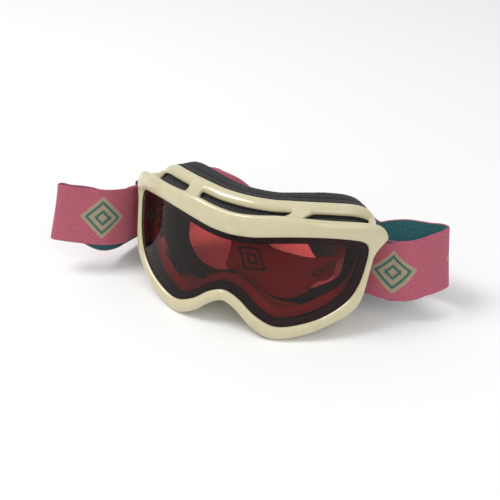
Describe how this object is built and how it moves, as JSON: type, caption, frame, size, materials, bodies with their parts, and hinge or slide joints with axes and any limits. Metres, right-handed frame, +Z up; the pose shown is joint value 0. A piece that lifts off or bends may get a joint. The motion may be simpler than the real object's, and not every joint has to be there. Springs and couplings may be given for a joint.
{
  "type": "snow goggles",
  "caption": "Snow goggles with a cylindrical double lens, vented glossy frame, layered face foam and a wide elastic strap with a sliding adjuster.",
  "frame": {"origin": "middle of the part's box, on the table that it stands on", "axes": "+X towards the goggles' left side as worn seen from the front, -Y the way the lens faces, +Z up from the table"},
  "size_m": [0.2639, 0.1426, 0.0782],
  "materials": {
    "frame": "glossy moulded ivory urethane",
    "outer_lens": "rose vermilion tinted polycarbonate",
    "inner_lens": "clear anti-fog sheet",
    "spacer": "dark closed-cell foam tape",
    "vent_foam": "open-cell filter foam",
    "face_foam": "fine matte charcoal foam",
    "fleece": "brushed fleece",
    "strap": "woven elastic, rose outside and teal inside",
    "hardware": "moulded black acetal"
  },
  "bodies": {
    "goggles": {"frame": "frame", "outer_lens": "outer_lens", "lens_spacer": "spacer", "inner_lens": "inner_lens", "top_vent_foam_left": "vent_foam", "top_vent_foam_centre": "vent_foam", "top_vent_foam_right": "vent_foam", "lower_vent_foam_left": "vent_foam", "lower_vent_foam_right": "vent_foam", "face_foam_base": "face_foam", "face_foam_soft": "face_foam", "face_fleece": "fleece", "strap_left": "strap", "strap_right": "strap", "strap_ring": "hardware"},
    "adjuster": {"strap_slider": "hardware", "slider_loop": "strap"}
  },
  "joints": [
    {"name": "slider_slide", "type": "slide", "parent": "goggles", "child": "adjuster", "axis": [-0.2034, -0.9752, 0.0877], "range_m": [0, 0.018]}
  ]
}
